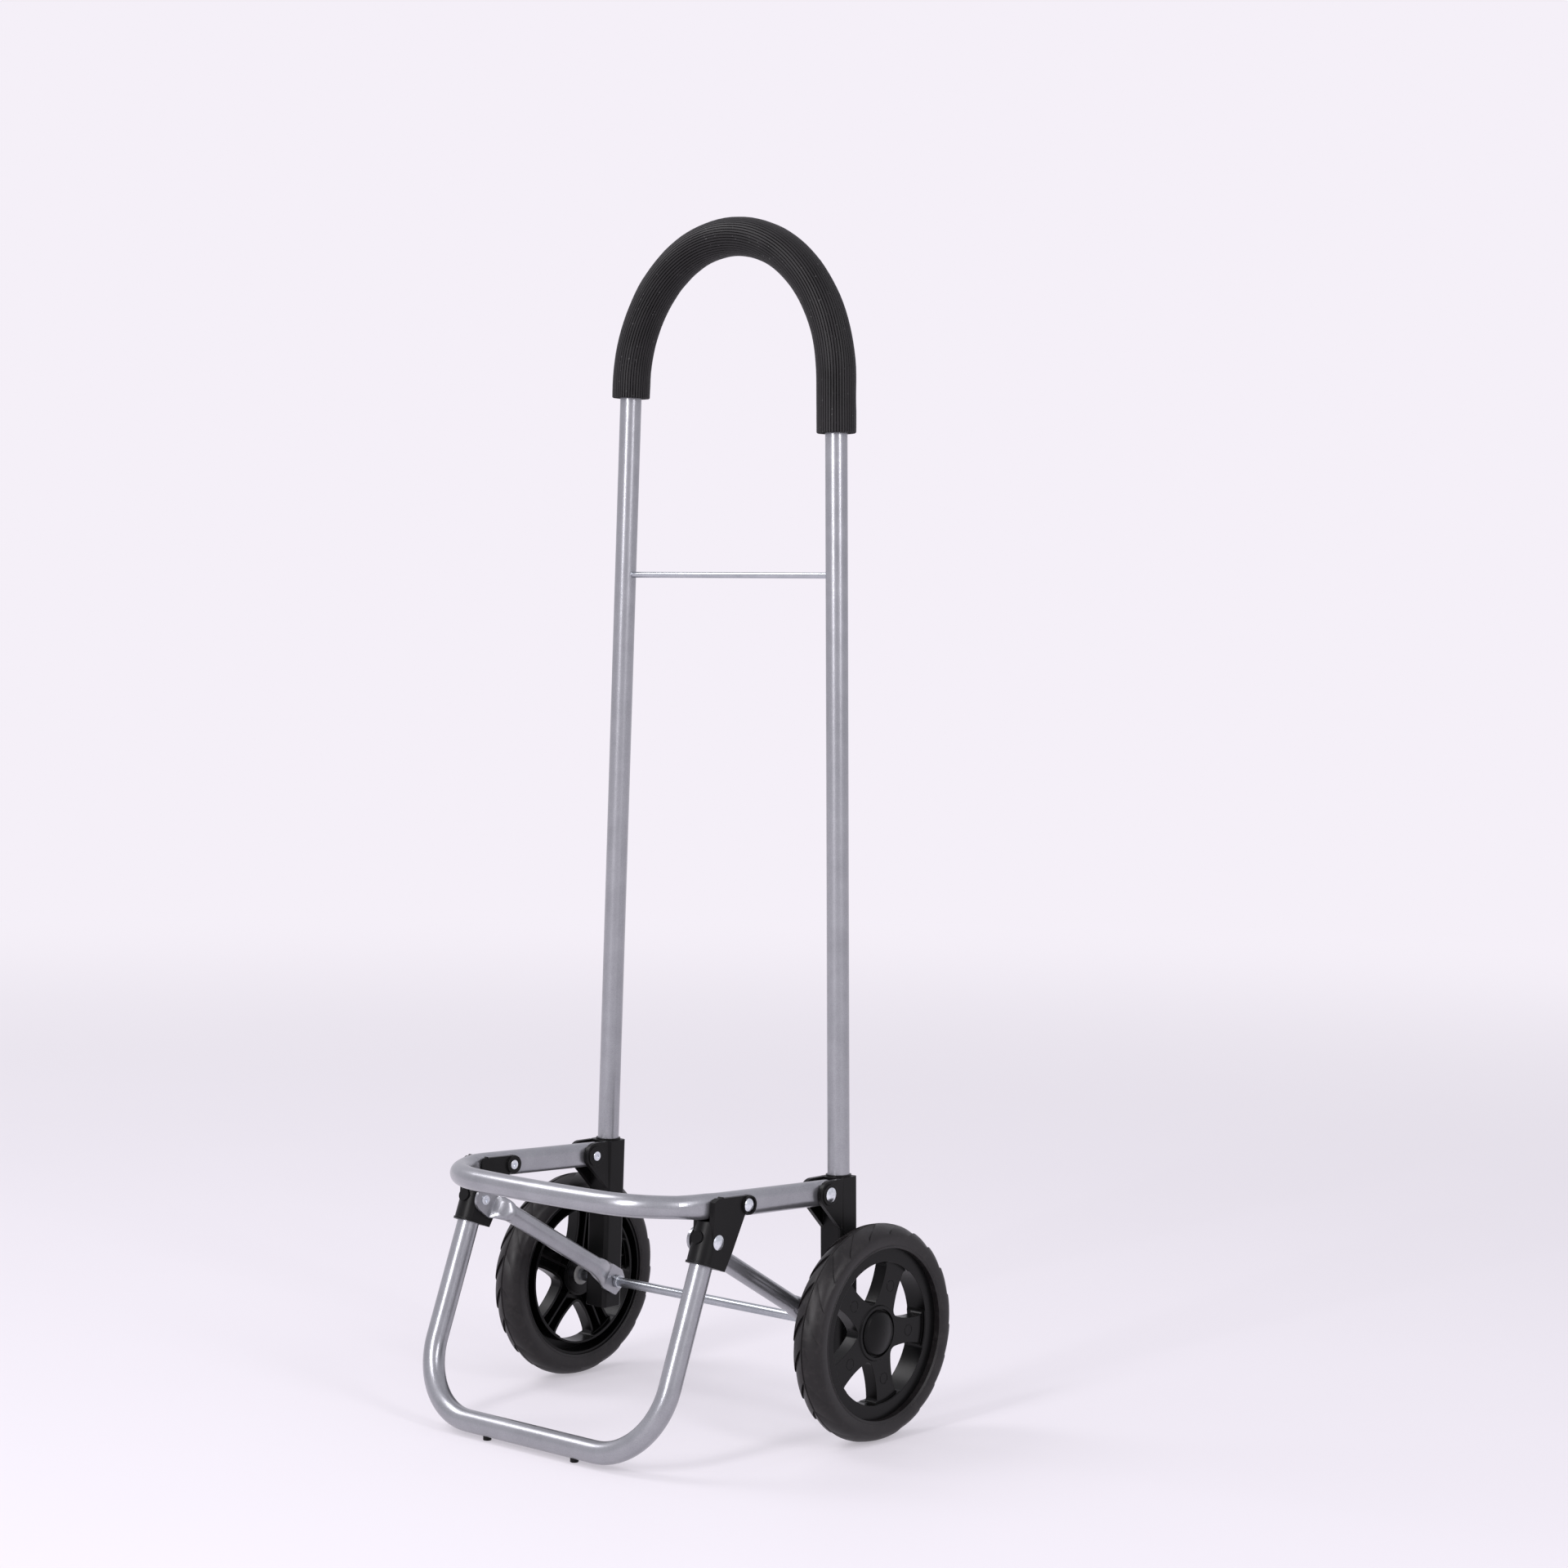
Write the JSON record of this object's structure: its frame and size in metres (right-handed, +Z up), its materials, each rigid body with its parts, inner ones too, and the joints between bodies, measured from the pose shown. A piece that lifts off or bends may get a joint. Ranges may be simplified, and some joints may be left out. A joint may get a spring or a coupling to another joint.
{
  "type": "hand truck",
  "caption": "Folding hand truck: arched tube handle with foam grip, hinged U-shaped platform and leg, braces, and plastic wheels on a through axle.",
  "frame": {"origin": "on the floor, in the middle of the footprint", "axes": "+X along the axle to the truck's right as seen from behind the platform's front edge, +Z up; the platform points to -Y and the upright handle stands near the back"},
  "size_m": [0.3662, 0.3129, 0.9866],
  "materials": {
    "frame_paint": "satin silver-grey metallic paint",
    "grip_foam": "matt black closed-cell foam with fine lengthwise ribs",
    "bracket_plastic": "satin black moulded plastic",
    "wheel_plastic": "satin black moulded plastic",
    "bush_plastic": "plain grey bearing plastic",
    "tyre_rubber": "black-brown foam rubber, slightly dusty",
    "axle_zinc": "bluish zinc plating with long streaks",
    "rivet_zinc": "bright zinc plating"
  },
  "bodies": {
    "handle_frame": {"handle_tube": "frame_paint", "foam_grip": "grip_foam", "cross_rod": "axle_zinc", "rear_bracket_right": "bracket_plastic", "rear_bracket_left": "bracket_plastic", "axle": "axle_zinc", "axle_spacers": "axle_zinc", "brace_retainers": "axle_zinc", "axle_split_pins": "axle_zinc", "axle_end_nuts": "axle_zinc", "rear_pivot_rivets": "rivet_zinc"},
    "load_platform": {"platform_tube": "frame_paint"},
    "support_leg": {"leg_tube": "frame_paint", "front_bracket_right": "bracket_plastic", "front_bracket_left": "bracket_plastic", "foot_glides": "bracket_plastic", "front_pivot_rivets": "rivet_zinc", "brace_pivot_heads": "rivet_zinc"},
    "right_brace": {"brace_right": "frame_paint", "brace_rolled_end_right": "rivet_zinc"},
    "right_wheel": {"tyre_right": "tyre_rubber", "wheel_rim_right": "wheel_plastic", "hub_bush_right": "bush_plastic", "hub_cap_right": "wheel_plastic"},
    "left_brace": {"brace_left": "frame_paint", "brace_rolled_end_left": "rivet_zinc"},
    "left_wheel": {"tyre_left": "tyre_rubber", "wheel_rim_left": "wheel_plastic", "hub_bush_left": "bush_plastic", "hub_cap_left": "wheel_plastic"}
  },
  "joints": [
    {"name": "platform_fold", "type": "hinge", "parent": "handle_frame", "child": "load_platform", "pos_m": [0, 0.04439, 0.1981], "axis": [-1, 0, 0], "range_deg": [0, 87.8]},
    {"name": "leg_fold", "type": "hinge", "parent": "load_platform", "child": "support_leg", "pos_m": [0, -0.05251, 0.2018], "axis": [1, 0, 0], "range_deg": [0, 106.57]},
    {"name": "right_brace_fold", "type": "hinge", "parent": "handle_frame", "child": "right_brace", "pos_m": [0, 0.06899, 0.0875], "axis": [-1, 0, 0], "range_deg": [0, 44.45]},
    {"name": "left_brace_fold", "type": "hinge", "parent": "handle_frame", "child": "left_brace", "pos_m": [0, 0.06899, 0.0875], "axis": [-1, 0, 0], "range_deg": [0, 44.45]},
    {"name": "right_wheel_spin", "type": "hinge", "parent": "handle_frame", "child": "right_wheel", "pos_m": [0, 0.06899, 0.0875], "axis": [1, 0, 0], "continuous": true},
    {"name": "left_wheel_spin", "type": "hinge", "parent": "handle_frame", "child": "left_wheel", "pos_m": [0, 0.06899, 0.0875], "axis": [1, 0, 0], "continuous": true}
  ],
  "couplings": [
    {"joint": "leg_fold", "follows": "platform_fold", "ratio": 1.2127},
    {"joint": "right_brace_fold", "follows": "platform_fold", "ratio": 0.50514},
    {"joint": "left_brace_fold", "follows": "platform_fold", "ratio": 0.50514}
  ]
}
